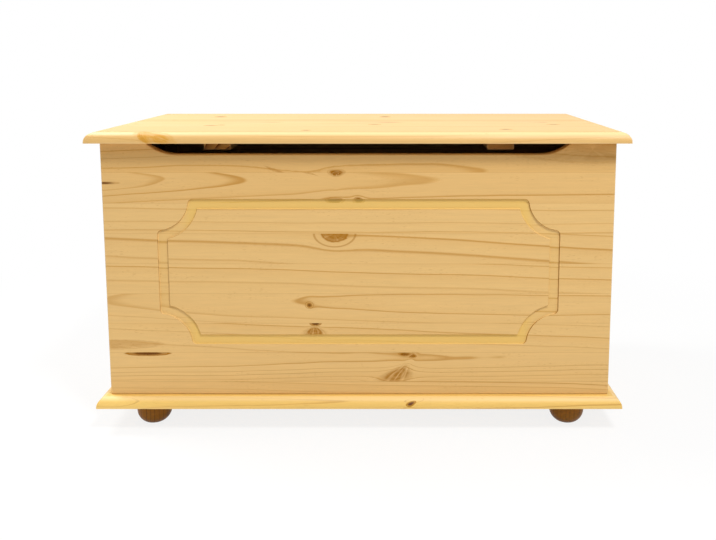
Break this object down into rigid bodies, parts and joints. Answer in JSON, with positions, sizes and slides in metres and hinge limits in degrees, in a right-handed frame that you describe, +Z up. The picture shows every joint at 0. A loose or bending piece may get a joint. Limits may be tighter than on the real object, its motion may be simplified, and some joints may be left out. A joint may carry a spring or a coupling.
{
  "type": "blanket chest",
  "caption": "Lacquered pine blanket chest with a hinged moulded lid, a finger gap, a routed front panel with scooped corners and turned bun feet.",
  "frame": {"origin": "on the floor, below the middle of the whole chest's plan", "axes": "+X along the length to the right seen from the front, +Y to the back, +Z up; the front faces -Y"},
  "size_m": [0.9, 0.4568, 0.5163],
  "materials": {
    "wall_pine": "honey pine in horizontal staves under clear satin lacquer",
    "moulded_pine": "honey pine with a rounded edge under clear satin lacquer",
    "batten_pine": "sanded pine",
    "turned_foot": "brown stained and lacquered",
    "dowel_beech": "raw beech",
    "brass": "satin brass",
    "zinc_steel": "bright zinc plated"
  },
  "bodies": {
    "carcass": {"base_board": "moulded_pine", "front_panel": "wall_pine", "back_panel": "wall_pine", "left_panel": "wall_pine", "right_panel": "wall_pine", "corner_dowels": "dowel_beech", "base_screws": "zinc_steel", "foot_front_left": "turned_foot", "foot_front_right": "turned_foot", "foot_back_left": "turned_foot", "foot_back_right": "turned_foot", "foot_bolts": "zinc_steel", "foot_inserts": "zinc_steel", "hinge_left_wall_leaf": "brass", "hinge_left_pin": "brass", "hinge_right_wall_leaf": "brass", "hinge_right_pin": "brass", "hinge_wall_screws": "brass", "stay_wall_plate": "brass", "stay_stud": "brass", "stay_wall_screws": "brass"},
    "lid": {"lid_panel": "moulded_pine", "lid_batten_left": "batten_pine", "lid_batten_right": "batten_pine", "batten_screws": "zinc_steel", "hinge_left_lid_leaf": "brass", "hinge_right_lid_leaf": "brass", "hinge_lid_screws": "brass", "stay_bracket": "brass", "stay_rivet": "brass", "stay_lid_screws": "brass"},
    "stay_arm": {"stay_arm": "brass"}
  },
  "joints": [
    {"name": "lid_hinge", "type": "hinge", "parent": "carcass", "child": "lid", "pos_m": [0, 0.2252, 0.49815], "axis": [-1, 0, 0], "range_deg": [0, 95]},
    {"name": "stay_pivot", "type": "hinge", "parent": "lid", "child": "stay_arm", "pos_m": [-0.408, 0.07585, 0.48415], "axis": [-1, 0, 0], "range_deg": [-47.5, 0]}
  ],
  "couplings": [
    {"joint": "stay_pivot", "follows": "lid_hinge", "ratio": -0.5}
  ]
}
